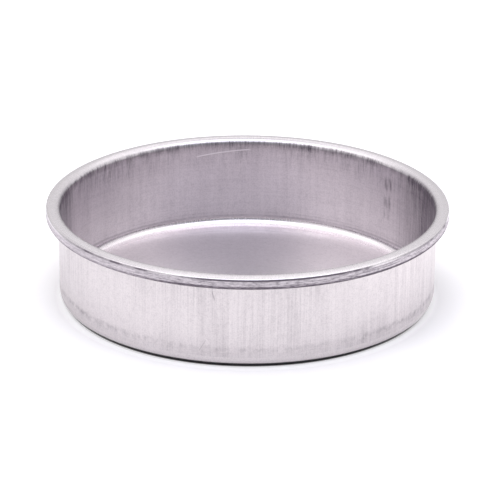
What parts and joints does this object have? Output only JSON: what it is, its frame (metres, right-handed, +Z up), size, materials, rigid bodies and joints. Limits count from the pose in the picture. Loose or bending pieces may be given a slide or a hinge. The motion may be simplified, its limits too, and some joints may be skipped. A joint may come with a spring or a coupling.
{
  "type": "round cake tin",
  "caption": "Round aluminium cake tin with a flat floor, rounded foot, upright wall and a curled rim, its top falling gently away outwards, rolled over a stiffening wire.",
  "frame": {"origin": "centre of the underside, on the surface that the tin stands on", "axes": "+Z up along the tin's axis of revolution, out of its mouth; +X and +Y lie in the surface it stands on, and the butt gap of the hidden rim wire is beside the +X axis, on its -Y side"},
  "size_m": [0.2184, 0.2184, 0.0535],
  "materials": {
    "pan_aluminium": "bare satin aluminium with fine upright draw streaks",
    "wire_steel": "plain drawn wire, hidden in the bead"
  },
  "bodies": {
    "root": {"pan_shell": "pan_aluminium", "rim_wire": "wire_steel"}
  },
  "joints": []
}
